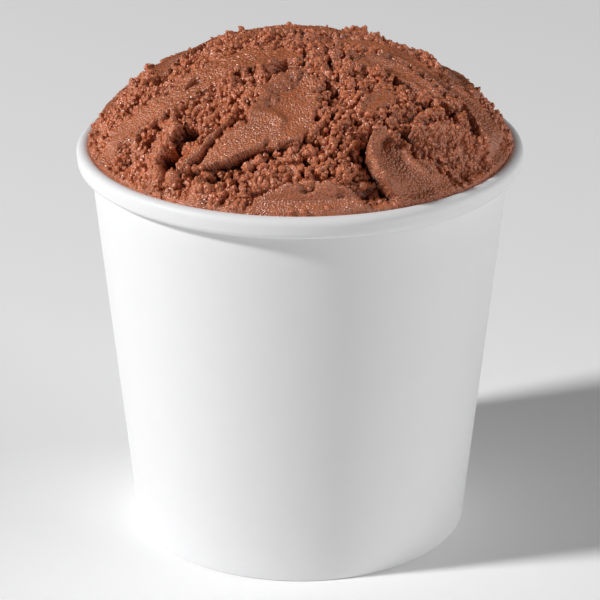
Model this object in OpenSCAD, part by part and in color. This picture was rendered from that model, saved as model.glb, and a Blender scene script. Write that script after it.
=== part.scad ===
// Pint tub of chocolate ice cream: a two-piece paperboard tub with a rolled rim, filled and
// mounded above the rim. Millimetres, +Z up, origin at the centre of the ring it stands on.

/* [Tub] */
// Outer diameter over the rolled rim
rim_d = 99; // [80:0.5:130]
// Height from the table to the top of the rolled rim
tub_h = 90.5; // [60:0.5:140]
// Outer diameter where the side wall stands on the table
base_d = 75.6; // [60:0.2:78]
// Thickness of the side wall's paperboard
wall_board = 0.45; // [0.3:0.05:0.8]
// Thickness of the base disc's paperboard
base_board = 0.45; // [0.3:0.05:0.8]

/* [Rim] */
// Width of the rolled rim, across the roll
roll_w = 3.2; // [2.6:0.1:5]
// Height of the rolled rim
roll_h = 4.8; // [3.6:0.1:7]
// Gap between the end of the curl and the wall
curl_gap = 0.35; // [0.2:0.05:0.6]

/* [Foot] */
// Height of the hem that is folded up inside the base's skirt
hem_h = 5; // [3:0.5:10]
// Height of the base disc's underside above the table
recess_h = 6; // [4:0.5:14]
// How much of the fold's round bottom is pressed flat where it stands
foot_press = 0.1; // [0.05:0.01:0.15]
// Width of the lap where the side wall's two ends are glued
seam_w = 7; // [4:0.5:12]
// How far the lap's outer layer stands out of the wall
seam_step = 0.22; // [0.1:0.02:0.4]
// Direction of the lap round the tub, from +X towards +Y
seam_at = 118; // [0:1:359]

/* [Ice cream] */
// Height of the mound's crown above the rim
crown_h = 23.2; // [10:0.2:32]
// Height above the rim at which the mound's round reaches the wall
shoulder_h = 2.4; // [0:0.2:5]
// How far the mound then drops where it meets the wall
edge_drop = 3.4; // [1:0.1:6]
// Width of the band over which it drops
edge_w = 5; // [2:0.5:10]
// Height of the unevenness along its edge
edge_wave = 0.7; // [0:0.1:1.5]
// Clearance between the filling and the wall, at its corners
fill_gap = 0.04; // [0.02:0.01:0.2]
// Share of their full depth that the spade marks have
mark_depth = 1; // [0.2:0.1:1.2]
// Height of the torn unevenness between the marks
torn_h = 0.45; // [0:0.05:1.2]
// Length from one torn lump to the next
torn_l = 9; // [7:0.5:16]

/* [Hidden] */
$fn = 96;
touch = 0.01;

// The side wall leans outwards. Everything that belongs to it is drawn in the wall's own frame:
// y runs up along the wall, x = 0 is its outer face and x = -wall_board its inner face.
mouth_r = rim_d / 2 - roll_w + wall_board;
lean = atan((mouth_r - base_d / 2) / (tub_h - roll_w / 2));
fold_r = wall_board + base_board / 2;
// How far the frame's origin lies below the table, so that the pressed fold stands on it
foot_drop = fold_r * (sin(lean) + cos(lean) - 1) + foot_press;
roll_x = roll_w / 2 - wall_board;
wall_l = (tub_h - roll_w / 2 + foot_drop + roll_x * sin(lean)) / cos(lean) + roll_w / 2;
hem_x = -2 * wall_board - base_board;
skirt_x = -wall_board - base_board;
wall_r = wall_board / cos(lean);

// Radius of the wall's inner face at a height
function inner_r(z) = base_d / 2 + (z + foot_drop) * tan(lean) - wall_r;

base_top = recess_h + base_board;

// The mound is a spherical cap over the mouth, with the spade marks added on it.
mouth_in = inner_r(tub_h - roll_w / 2);
cap_h = crown_h - shoulder_h;
cap_r = (mouth_in * mouth_in + cap_h * cap_h) / (2 * cap_h);
rings = 36;
sectors = 108;

// Spade marks, as fractions of mouth_in for places and sizes, and millimetres for heights:
// [x, y, length, width, turn, lift, cup, lip]. lift raises the mark's face above the cap, cup
// hollows it, and lip is the ridge pushed up along its lower side (local -y), or along its
// upper side where it is negative.
MARKS = [
    // front: broad centre slab, its toe, and the two leaves on the right
    [-0.09, -0.62, 0.62, 0.36, 38, 1.2, 0.7, 0.9],
    [-0.36, -0.78, 0.44, 0.13, -4, 1.2, 0.1, 0.8],
    [ 0.44, -0.76, 0.36, 0.20, -22, 2.2, 0.9, 1.1],
    [ 0.66, -0.70, 0.30, 0.16, 12, 1.6, 0.3, 0.4],
    [ 0.72, -0.54, 0.50, 0.20, 28, -1.0, 0.4, -0.6],
    [ 0.06, -0.97, 0.56, 0.12, 0, 1.6, 0.2, 0.7],
    // torn furrow between the slab and the leaves
    [ 0.10, -0.88, 0.66, 0.12, 8, -1.9, 0.4, 0],
    [ 0.24, -0.66, 0.50, 0.16, 56, -1.4, 0.4, 0],
    // left: long scrape, the torn slab beside it and the hollow behind that
    [-0.66, -0.32, 0.70, 0.24, 14, 0.5, 0.9, 0.8],
    [-0.64, -0.58, 0.26, 0.20, 58, 1.6, 0, 0.8],
    [-0.54, -0.62, 0.20, 0.14, 70, -2.8, 0.4, 0],
    // right: long scrape over the shoulder and the band down the side
    [ 0.50, -0.17, 0.56, 0.16, -27, -0.8, 0.8, 1.1],
    [ 0.86, -0.28, 0.36, 0.14, -52, 0.8, 0.4, 0.6],
    [ 0.34, -0.50, 0.20, 0.18, 60, 0.9, 0.2, 0.5],
    // crown: smooth patch and the pits beside it
    [-0.28, -0.15, 0.42, 0.22, 12, 0.6, 0.6, 0.5],
    [-0.09, -0.31, 0.14, 0.11, 10, -2.4, 0.3, 0],
    [-0.26, -0.37, 0.12, 0.10, 40, -1.9, 0.3, 0],
    [ 0.14, 0.02, 0.20, 0.10, 12, -1.6, 0.2, 0],
    // back: three long scrapes, a leaf and two hollows
    [-0.50, 0.38, 0.80, 0.28, 62, 0.8, 1.0, 1.1],
    [ 0.08, 0.56, 0.86, 0.30, 6, 0.9, 1.1, -1.2],
    [ 0.66, 0.32, 0.62, 0.22, -66, 0.7, 0.8, 1.0],
    [ 0.10, 0.86, 0.44, 0.18, 4, 1.6, 0.7, -1.1],
    [-0.40, 0.78, 0.34, 0.16, 36, 1.5, 0.5, -0.9],
    [ 0.50, 0.72, 0.24, 0.14, -30, -2.2, 0.4, 0],
    [-0.16, 0.30, 0.16, 0.12, 20, -2.0, 0.3, 0],
    [ 0.30, 0.26, 0.20, 0.10, -20, -1.6, 0.2, 0],
];

// A mark's outline is where q = 1. Its face falls away over fade on both sides of fade_at, and
// its lip is a ridge of about lip_w, just inside the outline, that runs a little past the mark's
// own half, by lip_over.
fade_at = 1.05;
fade = 0.2;
lip_at = 0.93;
lip_w = 0.14;
lip_over = 0.3;
reach = 1.5;

function smooth_step(t) = let (u = min(1, max(0, t))) u * u * (3 - 2 * u);

// [height that one mark adds at a point, how far the point lies on its face], a and b being the
// point in the mark's own half-lengths
function mark_at(m, x, y) =
    let (
        dx = x / mouth_in - m[0],
        dy = y / mouth_in - m[1],
        a = (dx * cos(m[4]) + dy * sin(m[4])) / (m[2] / 2),
        b = (dy * cos(m[4]) - dx * sin(m[4])) / (m[3] / 2),
        q = sqrt(a * a + b * b)
    )
    q > reach ? [0, 0] :
    let (
        face = smooth_step((fade_at + fade - q) / (2 * fade)),
        side = m[7] < 0 ? b : -b,
        ridge = exp(-pow((q - lip_at) / lip_w, 2)) * smooth_step(side + lip_over)
    )
    [mark_depth * (face * (m[5] - m[6] * (1 - q * q)) + abs(m[7]) * ridge), face];

function sum_marks(x, y, i = 0) = i == len(MARKS) ? [0, 0] : mark_at(MARKS[i], x, y) + sum_marks(x, y, i + 1);

// Lumps and furrows that tearing leaves between the marks: waves of five lengths in five
// directions, which never line up into a pattern
function torn(x, y) =
    torn_h * [for (k = [0:4])
        let (turn = 137.5 * k, w = 360 / torn_l * (1 + 0.17 * k))
        sin(w * (x * cos(turn) + y * sin(turn)) + 60 * sin(w / 2 * (y * cos(turn) - x * sin(turn))))
    ] * [1, 0.9, 0.8, 0.7, 0.6];

// Unevenness of the edge along the wall, at an angle round the tub
function edge_line(a) = edge_wave * (sin(3 * a + 20) * 0.5 + sin(7 * a) * 0.3 + sin(16 * a + 70) * 0.2);

function mound_z(x, y, a) =
    let (
        r = norm([x, y]),
        cap = tub_h + crown_h - cap_r + sqrt(max(0, cap_r * cap_r - r * r)),
        near_edge = smooth_step((r - mouth_in + edge_w) / edge_w),
        marks = sum_marks(x, y),
        relief = marks[0] + torn(x, y) * (1 - min(1, marks[1]))
    )
    cap + relief * (1 - near_edge) + (edge_line(a) - edge_drop) * near_edge;

module wall_frame() {
    translate([base_d / 2, -foot_drop]) rotate(-lean) children();
}

// Long round-ended section of the roll, inset by the board where it is hollow
module roll_section(inset) {
    r = roll_w / 2 - inset;
    for (y = [roll_w / 2, roll_h - roll_w / 2])
        translate([roll_w / 2, y]) circle(r);
    translate([inset, roll_w / 2]) square([2 * r, roll_h - roll_w]);
}

// The rim: the wall's own board curled outwards, its end just clear of the wall
module curl_section() {
    translate([-wall_board, wall_l - roll_h])
        difference() {
            roll_section(0);
            roll_section(wall_board);
            translate([wall_board, -touch]) square([curl_gap, wall_board + roll_w / 4]);
        }
}

// The foot: the wall's board folded in under the skirt of the base and up inside it
module hem_section() {
    translate([-fold_r, fold_r])
        difference() {
            circle(fold_r);
            circle(base_board / 2);
            translate([-2 * fold_r, 0]) square([4 * fold_r, 2 * fold_r]);
        }
    translate([hem_x, fold_r - touch]) square([wall_board, hem_h - fold_r + touch]);
}

module tub_wall() {
    color("white") {
        rotate_extrude()
            difference() {
                wall_frame() {
                    translate([-wall_board, fold_r - touch])
                        square([wall_board, wall_l - roll_w / 2 - fold_r + 2 * touch]);
                    curl_section();
                    hem_section();
                }
                translate([0, -fold_r]) square([base_d, fold_r]);
            }
        seam_lap();
    }
}

// Outer layer of the glued lap, from the fold up to the roll
module seam_lap() {
    seam_angle = seam_w / (PI * base_d) * 360;
    rotate(seam_at - seam_angle / 2)
        rotate_extrude(angle = seam_angle)
            wall_frame()
                translate([-touch, 2 * fold_r])
                    square([seam_step + touch, wall_l - roll_h - 2 * fold_r]);
}

// Disc with a turned-down skirt that the wall's hem grips
module tub_base() {
    color("whitesmoke")
        rotate_extrude()
            intersection() {
                union() {
                    translate([0, recess_h]) square([base_d, base_board]);
                    wall_frame() translate([skirt_x, fold_r]) square([base_board, 2 * base_top]);
                }
                wall_frame() translate([-base_d, 0]) square([base_d - wall_board, 3 * base_top]);
                square([base_d, base_top]);
            }
}

function fill_r(z) = inner_r(min(z, tub_h - roll_w / 2)) - fill_gap;

// One solid: a skin of rings from the crown to the wall, then straight down the wall to the base
module ice_cream() {
    edge_z = [for (j = [0:sectors - 1])
        let (a = 360 * j / sectors) mound_z(mouth_in * cos(a), mouth_in * sin(a), a)];
    share = [for (i = [1:rings]) i / rings];
    top = [[0, 0, mound_z(0, 0, 0)]];
    skin = [for (i = [0:rings - 1], j = [0:sectors - 1])
        let (a = 360 * j / sectors, r = share[i] * fill_r(edge_z[j]), x = r * cos(a), y = r * sin(a))
        [x, y, i == rings - 1 ? edge_z[j] : mound_z(x, y, a)]];
    floor_ring = [for (j = [0:sectors - 1])
        let (a = 360 * j / sectors, r = fill_r(base_top)) [r * cos(a), r * sin(a), base_top]];
    function at(i, j) = 1 + i * sectors + j % sectors;
    faces = [
        for (j = [0:sectors - 1]) [0, at(0, j + 1), at(0, j)],
        for (i = [0:rings - 1], j = [0:sectors - 1]) [at(i, j), at(i, j + 1), at(i + 1, j)],
        for (i = [0:rings - 1], j = [0:sectors - 1]) [at(i, j + 1), at(i + 1, j + 1), at(i + 1, j)],
        [for (j = [0:sectors - 1]) at(rings, j)],
    ];
    color("saddlebrown") polyhedron(points = concat(top, skin, floor_ring), faces = faces, convexity = 6);
}

tub_wall();
tub_base();
ice_cream();
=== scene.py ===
import math
from typing import NamedTuple

import bmesh
import bpy
import numpy as np
from bpy.props import FloatProperty, IntProperty, PointerProperty, StringProperty
from bpy.types import Operator, Panel, PropertyGroup
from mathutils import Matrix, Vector


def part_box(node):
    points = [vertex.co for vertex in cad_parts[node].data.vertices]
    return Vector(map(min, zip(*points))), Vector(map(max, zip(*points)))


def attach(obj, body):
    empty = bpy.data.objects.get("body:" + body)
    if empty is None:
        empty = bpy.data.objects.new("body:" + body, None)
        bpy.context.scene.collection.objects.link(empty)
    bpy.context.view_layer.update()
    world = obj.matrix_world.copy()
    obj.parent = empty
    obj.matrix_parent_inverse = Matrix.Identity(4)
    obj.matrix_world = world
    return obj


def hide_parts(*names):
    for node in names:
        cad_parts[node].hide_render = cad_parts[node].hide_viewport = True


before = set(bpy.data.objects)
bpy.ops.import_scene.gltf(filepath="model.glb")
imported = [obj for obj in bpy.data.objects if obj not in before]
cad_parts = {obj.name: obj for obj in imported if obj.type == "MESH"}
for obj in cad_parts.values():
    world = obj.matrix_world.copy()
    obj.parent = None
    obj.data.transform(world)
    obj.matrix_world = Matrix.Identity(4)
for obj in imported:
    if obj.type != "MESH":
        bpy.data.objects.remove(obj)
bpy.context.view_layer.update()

bl_info = {
    "name": "Ice Cream Pint",
    "version": (1, 0, 0),
    "blender": (4, 5, 0),
    "location": "3D View > Sidebar > Ice Cream",
    "description": "Builds a paperboard pint tub heaped with spade-scraped chocolate ice cream",
    "category": "Object",
}

MM = 0.001
WALL_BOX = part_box("tub_wall")
BASE_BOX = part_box("tub_base")
FILL_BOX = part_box("ice_cream")

# The frame gives the tub's lines, here in millimetres: the wall leans outwards from the base's
# widest ring to the filling's widest ring.
TUB_H = WALL_BOX[1].z / MM
BASE_TOP = BASE_BOX[1].z / MM
BASE_R = BASE_BOX[1].x / MM
FILL_R = max(FILL_BOX[1].x, -FILL_BOX[0].x) / MM
ROLL = 1.6          # half the rolled rim's width: the ice cream leans over the roll's round
CREAM_GAP = 0.04    # between the ice cream and the wall
FLOOR_HALF = 4000   # half the floor's side


# ---------------------------------------------------------------- settings

def length(name, description, size_mm, smallest=0.0, largest=1000.0):
    """A setting that is a length, given here in millimetres"""
    return FloatProperty(name=name, description=description, default=size_mm * MM,
                         min=smallest * MM, max=largest * MM, precision=5, unit="LENGTH")


def amount(name, description, value):
    return FloatProperty(name=name, description=description, default=value, min=0)


def hex_colour(name, description, value):
    return StringProperty(name=name, description=description, default=value)


class TubSettings(PropertyGroup):
    """Sizes of the paperboard tub"""
    board: length("Board", "Thickness of the paperboard", 0.45, 0.2, 1)
    roll_width: length("Roll width", "Width of the rolled rim, across the roll", 3.2, 2, 6)
    roll_height: length("Roll height", "Height of the rolled rim", 4.8, 3, 8)
    hem_height: length("Hem height", "Height of the hem folded up inside the foot", 5, 2, 10)
    recess: length("Recess", "Height of the base disc's underside above the table",
                   BASE_BOX[1].z / MM - 0.45, 2, 15)
    foot_press: length("Foot press", "How much of the fold's round bottom is pressed flat", 0.1, 0, 0.2)
    lap_width: length("Lap width", "Width of the glued lap in the side wall", 7, 3, 12)
    lap_step: length("Lap step", "How far the lap's outer layer stands out", 0.22, 0, 0.5)
    lap_angle: FloatProperty(
        name="Lap angle", description="Where the lap stands round the tub",
        default=math.radians(118), subtype="ANGLE")
    sectors: IntProperty(
        name="Sectors", description="Number of facets round the tub",
        default=300, min=48, max=720)


class MoundSettings(PropertyGroup):
    """Sizes of the ice cream above the rim"""
    crown: length("Crown", "Height of the mound's round above the rim", 22.9, 8, 32)
    shoulder: length("Shoulder", "Height above the rim at which the round reaches the wall", 2.2, 0, 6)
    edge_drop: length("Edge drop", "How far the mound drops where it meets the wall", 2.6, 0, 6)
    edge_band: length("Edge band", "Width of the band over which it drops", 5, 1, 10)
    grain: length("Grain", "Size of the granules that tearing leaves", 1.2, 0.6, 3)
    grain_depth: length("Grain depth", "Depth of the gaps between granules", 1.5, 0, 2)
    mesh_cells: IntProperty(
        name="Mesh cells", description="Cells across the mound's mesh",
        default=308, min=60, max=312)
    seed: IntProperty(name="Seed", description="Seed of everything uneven", default=7, min=0)


class CrumbSettings(PropertyGroup):
    """Half-sunk crumbs on the torn ice cream: how many on each square metre, and their mean size"""
    coarse_count: amount("Coarse crumbs", "Coarse crumbs on each square metre of crests", 4.9e5)
    coarse_size: length("Coarse size", "Mean size of the coarse crumbs", 1.3)
    middle_count: amount("Middle crumbs", "Middle crumbs on each square metre of crests", 5.0e5)
    middle_size: length("Middle size", "Mean size of the middle crumbs", 0.95)
    fine_count: amount("Fine crumbs", "Fine crumbs on each square metre of crests", 5.0e5)
    fine_size: length("Fine size", "Mean size of the fine crumbs", 0.7)


class FinishSettings(PropertyGroup):
    """Colours, as sRGB hex values"""
    scraped: hex_colour("Scraped", "Ice cream smoothed by the spade", "BE6E49")
    torn: hex_colour("Torn", "Ice cream where it tore", "CE7850")
    # painted shade: the dark colour laid into the ice cream's gaps and low places, where shade falls, not a
    # colour of the ice cream itself
    hollow: hex_colour("Hollow", "Ice cream deep in the gaps", "40150A")
    board: hex_colour("Board", "White coated paperboard", "F0F0F1")
    floor: hex_colour("Floor", "Pale studio floor", "FFFFFF")


class StageSettings(PropertyGroup):
    """Camera and light"""
    camera_back: length("Camera back", "Distance of the camera in front of the tub's axis", 589.2)
    camera_up: length("Camera up", "Height of the camera above the table", 298.8)
    camera_pitch: FloatProperty(
        name="Camera pitch", description="How far the camera looks down",
        default=math.radians(22.733), subtype="ANGLE")
    camera_lens: FloatProperty(
        name="Lens", description="Focal length on a 36 mm sensor", default=168.77, min=20)
    key: amount("Key", "Power of the key light", 57.5)
    fill: amount("Fill", "Power of the fill light", 24.0)
    sky: amount("Sky", "Strength of the light from all round", 0.04)


SETTINGS = {
    "pint_tub": TubSettings,
    "pint_mound": MoundSettings,
    "pint_crumbs": CrumbSettings,
    "pint_finish": FinishSettings,
    "pint_stage": StageSettings,
}


def in_mm(group):
    """The group's lengths as a plain record in millimetres, everything else unchanged"""
    values = {}
    for name, prop in group.bl_rna.properties.items():
        if name in ("rna_type", "name"):
            continue
        value = getattr(group, name)
        values[name] = value / MM if getattr(prop, "unit", "NONE") == "LENGTH" else value
    return type("Values", (), values)


# ---------------------------------------------------------------- small helpers

def colour(hex_value):
    """An sRGB hex value as linear RGBA"""
    srgb = [int(hex_value[i:i + 2], 16) / 255 for i in (0, 2, 4)]
    return [c / 12.92 if c <= 0.04045 else ((c + 0.055) / 1.055) ** 2.4 for c in srgb] + [1.0]


def fill_in(tree, node, **links):
    """Gives a node its inputs, by name with _ for a space, or as _0, _1 by number: each is a
    value or an output socket to join"""
    for name, value in links.items():
        socket = node.inputs[int(name[1:])] if name[1:].isdigit() else node.inputs[name.replace("_", " ")]
        if isinstance(value, bpy.types.NodeSocket):
            tree.links.new(value, socket)
        else:
            socket.default_value = value


def add(tree, kind, settings=None, **links):
    """Adds a node with its properties, which settings holds, and its inputs"""
    node = tree.nodes.new(kind)
    for name, value in (settings or {}).items():
        setattr(node, name, value)
    fill_in(tree, node, **links)
    return node


def maths(tree, operation, *values):
    """The result of a new math node on up to three numbers or sockets"""
    inputs = {f"_{number}": value for number, value in enumerate(values)}
    return add(tree, "ShaderNodeMath", {"operation": operation}, **inputs).outputs[0]


def vectors(tree, operation, vector, **inputs):
    """The result of a new vector math node"""
    return add(tree, "ShaderNodeVectorMath", {"operation": operation}, _0=vector, **inputs).outputs[0]


def position(tree):
    return add(tree, "GeometryNodeInputPosition").outputs[0]


def point_value(tree, name):
    """A number that the mesh's points hold"""
    return add(tree, "GeometryNodeInputNamedAttribute", {"data_type": "FLOAT"}, Name=name).outputs[0]


def smooth(x):
    x = np.clip(x, 0, 1)
    return x * x * (3 - 2 * x)


def bell(x):
    return np.exp(-x * x)


def new_object(name, mesh):
    piece = bpy.data.objects.new(name, mesh)
    bpy.context.scene.collection.objects.link(piece)
    return piece


def mesh_from(name, points_mm, faces, smooth_shaded=True):
    mesh = bpy.data.meshes.new(name)
    mesh.from_pydata((np.asarray(points_mm, float) * MM).tolist(), [], faces)
    if smooth_shaded:
        mesh.shade_smooth()
    return mesh


def baked(piece, name):
    """The evaluated shape of a piece with modifiers, as a new plain object of that name, with
    its faces looking outwards"""
    graph = bpy.context.evaluated_depsgraph_get()
    mesh = bpy.data.meshes.new_from_object(piece.evaluated_get(graph), depsgraph=graph)
    source = piece.data
    bpy.data.objects.remove(piece)
    if source.users == 0:
        bpy.data.meshes.remove(source)
    mesh.name = name
    shape = bmesh.new()
    shape.from_mesh(mesh)
    bmesh.ops.recalc_face_normals(shape, faces=shape.faces)
    shape.to_mesh(mesh)
    shape.free()
    return new_object(name, mesh)


def with_nodes(piece, tree, values):
    """Puts a Geometry Nodes tree on a piece and sets its inputs, each found by its name"""
    modifier = piece.modifiers.new(tree.name, "NODES")
    modifier.node_group = tree
    for item in tree.interface.items_tree:
        if item.item_type == "SOCKET" and item.in_out == "INPUT" and item.name in values:
            modifier[item.identifier] = values[item.name]


def new_tree(name, inputs):
    """An empty geometry tree with its inputs; returns it with its input and output nodes"""
    tree = bpy.data.node_groups.new(name, "GeometryNodeTree")
    tree.is_modifier = True
    tree.interface.new_socket("Geometry", in_out="INPUT", socket_type="NodeSocketGeometry")
    for label, kind in inputs:
        tree.interface.new_socket(label, in_out="INPUT", socket_type="NodeSocket" + kind)
    tree.interface.new_socket("Geometry", in_out="OUTPUT", socket_type="NodeSocketGeometry")
    return tree, add(tree, "NodeGroupInput"), add(tree, "NodeGroupOutput")


def finish_piece(piece, node):
    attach(piece, "root")
    if node:
        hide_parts(node)


# ---------------------------------------------------------------- materials

def surface(name):
    """A new material with its tree, shader and object coordinates"""
    material = bpy.data.materials.new(name)
    material.use_nodes = True
    tree = material.node_tree
    shader = tree.nodes["Principled BSDF"]
    place = add(tree, "ShaderNodeTexCoord").outputs["Object"]
    return material, tree, shader, place


def per_mm(size_mm):
    """Texture scale, on object coordinates in metres, that gives features of about that size"""
    return 1 / (size_mm * MM)


def coated_paperboard(tone):
    """Coated paperboard: bleached board with a thin sealing film, rolled and glued. The film
    gives a soft satin sheen, and the board's fibres show as faint clouding and a fine tooth."""
    material, tree, shader, place = surface("coated_paperboard")
    white = colour(tone)
    shade = [c * 0.965 for c in white[:3]] + [1.0]
    cloud = add(tree, "ShaderNodeTexNoise", _0=place, Scale=per_mm(6), Detail=3.0, Roughness=0.6)
    tint = add(tree, "ShaderNodeMix", {"data_type": "RGBA"}, _0=cloud.outputs["Fac"], _6=shade, _7=white)
    fibre = add(tree, "ShaderNodeTexNoise", _0=place, Scale=per_mm(0.35), Detail=2.0, Roughness=0.5)
    rough = add(tree, "ShaderNodeMapRange", Value=fibre.outputs["Fac"], To_Min=0.42, To_Max=0.56)
    tooth = add(tree, "ShaderNodeBump", Height=fibre.outputs["Fac"], Strength=0.12, Distance=0.03 * MM)
    wave = add(tree, "ShaderNodeTexNoise", _0=place, Scale=per_mm(14), Detail=1.0)
    swell = add(tree, "ShaderNodeBump", Height=wave.outputs["Fac"], Strength=0.25, Distance=0.12 * MM,
                Normal=tooth.outputs["Normal"])
    fill_in(tree, shader, Base_Color=tint.outputs[2], Roughness=rough.outputs["Result"],
            Normal=swell.outputs["Normal"], IOR=1.46, Specular_IOR_Level=0.4)
    return material


def churned_ice_cream(finish):
    """Chocolate ice cream: churned, frozen hard and shaved with a spade. Scraped faces are
    smeared smooth and pale, torn ones show ice grains, and light sinks a little way in."""
    material, tree, shader, place = surface("churned_ice_cream")
    torn = add(tree, "ShaderNodeAttribute", {"attribute_name": "torn"}).outputs["Fac"]
    # painted shade: the colour darkens towards the shade colour by the amount of painted shade stored on
    # the mesh, in gaps and low places
    shade_amount = add(tree, "ShaderNodeAttribute", {"attribute_name": "hollow"}).outputs["Fac"]
    tone = add(tree, "ShaderNodeMix", {"data_type": "RGBA"}, _0=torn, _6=colour(finish.scraped),
               _7=colour(finish.torn))
    gap = add(tree, "ShaderNodeMix", {"data_type": "RGBA"}, _0=shade_amount, _6=tone.outputs[2],
              _7=colour(finish.hollow))
    patch = add(tree, "ShaderNodeTexNoise", _0=place, Scale=per_mm(9), Detail=4.0, Roughness=0.6)
    shade = add(tree, "ShaderNodeMapRange", Value=patch.outputs["Fac"],
                From_Min=0.3, From_Max=0.7, To_Min=0.88, To_Max=1.1)
    # ice crystals, 0.5 mm across, and the looser grit among them
    crystal = add(tree, "ShaderNodeTexVoronoi", _0=place, Scale=per_mm(0.5), Randomness=1.0)
    grit = add(tree, "ShaderNodeTexNoise", _0=place, Scale=per_mm(0.7), Detail=3.0, Roughness=0.7)
    speckle = add(tree, "ShaderNodeMapRange", Value=grit.outputs["Fac"],
                  From_Min=0.32, From_Max=0.68, To_Min=0.74, To_Max=1.24)
    both = maths(tree, "MULTIPLY", shade.outputs["Result"], speckle.outputs["Result"])
    mixed = vectors(tree, "SCALE", gap.outputs[2], Scale=both)
    height = maths(tree, "MULTIPLY_ADD", crystal.outputs["Distance"], -1.4, grit.outputs["Fac"])
    depth = add(tree, "ShaderNodeMapRange", Value=torn, To_Min=0.7, To_Max=0.45)
    bump = add(tree, "ShaderNodeBump", Height=height, Strength=depth.outputs["Result"],
               Distance=0.4 * MM)
    facet = add(tree, "ShaderNodeSeparateXYZ", _0=crystal.outputs["Color"])
    rough = add(tree, "ShaderNodeMapRange", Value=facet.outputs["X"],
                From_Min=0.1, From_Max=0.9, To_Min=0.44, To_Max=0.22)
    fill_in(tree, shader, Base_Color=mixed, Roughness=rough.outputs["Result"],
            Normal=bump.outputs["Normal"], IOR=1.45, Specular_IOR_Level=0.7)
    # light sinks in, the red part furthest
    fill_in(tree, shader, Subsurface_Weight=0.12, Subsurface_Radius=(1.0, 0.3, 0.15),
            Subsurface_Scale=0.6 * MM)
    # a film of melt water over it all
    fill_in(tree, shader, Coat_Weight=0.7, Coat_Roughness=0.2, Coat_IOR=1.33,
            Coat_Normal=bump.outputs["Normal"])
    return material


def studio_white(tone):
    """Matt painted board: a rolled, dull white that only catches the tub's soft shadow"""
    material, tree, shader, place = surface("matt_painted_board")
    nap = add(tree, "ShaderNodeTexNoise", _0=place, Scale=per_mm(3), Detail=2.0)
    bump = add(tree, "ShaderNodeBump", Height=nap.outputs["Fac"], Strength=0.05, Distance=0.05 * MM)
    fill_in(tree, shader, Base_Color=colour(tone), Roughness=0.9, Normal=bump.outputs["Normal"],
            Specular_IOR_Level=0.1)
    return material


# ---------------------------------------------------------------- the tub

def inner_radius(z):
    """Radius of the wall's inner face at a height"""
    top = TUB_H - ROLL
    return BASE_R + (FILL_R + CREAM_GAP - BASE_R) * (z - BASE_TOP) / (top - BASE_TOP)


def room_at(z):
    """How far out the ice cream may reach at a height: to the wall, then over the roll's round"""
    wall = inner_radius(np.minimum(z, TUB_H - ROLL))
    rise = np.clip((z - TUB_H + ROLL) / ROLL, 0, 0.8)
    return wall + ROLL * (1 - np.sqrt(1 - rise ** 2)) - CREAM_GAP


def lean():
    """Angle of the wall from upright"""
    return math.atan((inner_radius(TUB_H) - inner_radius(0)) / TUB_H)


def arc(cx, cy, r, start, end, count):
    """Points along an arc, angles in degrees"""
    turns = np.radians(np.linspace(start, end, count))
    return [(cx + r * math.cos(a), cy + r * math.sin(a)) for a in turns]


def stretch(x, y0, y1, count):
    return [(x, y) for y in np.linspace(y0, y1, count)]


def wall_centre_line(tub):
    """Middle of the board in the wall's own frame: x outwards, y up along the wall. It runs down
    the hem, round the fold, up the wall and round the roll, to the curl's end near the wall"""
    half = tub.board / 2
    fold = 1.5 * tub.board
    height = (TUB_H - tub.roll_width / 2) / math.cos(lean()) + tub.roll_width / 2
    mid = tub.roll_width / 2 - tub.board
    roll = tub.roll_width / 2 - half
    low = height - tub.roll_height + tub.roll_width / 2
    high = height - tub.roll_width / 2
    line = stretch(-2 * fold + half, tub.hem_height, fold, 6)
    line += arc(-fold, fold, fold - half, 180, 360, 10)[1:]
    line += stretch(-half, fold, high, 40)[1:]
    line += arc(mid, high, roll, 180, 0, 16)[1:]
    line += stretch(mid + roll, high, low, 6)[1:]
    line += arc(mid, low, roll, 0, -140, 12)[1:]
    return np.array(line)


def band(line, thickness):
    """Closed outline of a strip of that thickness along a line, with its last point repeating
    its first"""
    along = np.gradient(line, axis=0)
    across = np.stack([along[:, 1], -along[:, 0]], 1) / np.linalg.norm(along, axis=1)[:, None]
    outer = line + across * thickness / 2
    inner = line - across * thickness / 2
    return np.concatenate([outer, inner[::-1], outer[:1]])


def wall_section(tub):
    """The wall's section as (radius, height), and how much of the lap's step each point takes"""
    outline = band(wall_centre_line(tub), tub.board)
    a = lean()
    x, y = outline.T
    r = inner_radius(0) + tub.board / math.cos(a) + x * math.cos(a) + y * math.sin(a)
    z = y * math.cos(a) - x * math.sin(a)
    z = (z - z.min() - tub.foot_press) * TUB_H / (np.ptp(z) - tub.foot_press)
    on_face = np.abs(x) < 1e-6
    under_roll = z < TUB_H - tub.roll_height - 0.2
    lap = on_face * under_roll * smooth((z - 1.2) / 1.5)
    return r, np.maximum(z, 0), lap


def base_section(tub):
    """Half section of the base: a disc from the axis out, with its skirt turned down"""
    top, under, low = BASE_TOP, tub.recess, 1.5 * tub.board + 0.2
    gap = 0.02

    def outer(z):
        return inner_radius(z) - gap
    corner = 0.5
    edge = [(outer(top) - corner + corner * math.sin(t), top - corner + corner * math.cos(t))
            for t in np.radians(np.linspace(0, 90, 6))]
    skirt = [(outer(z), z) for z in np.linspace(top - corner, low, 5)][1:]
    back = [(outer(z) - tub.board, z) for z in np.linspace(low, under, 5)]
    disc_top = [(r, top) for r in np.linspace(0, outer(top) - corner, 12)][:-1]
    disc_under = [(r, under) for r in np.linspace(outer(under) - tub.board, 0, 12)][1:]
    r, z = np.array(disc_top + edge + skirt + back + disc_under).T
    return r, z, np.zeros(len(r))


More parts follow.
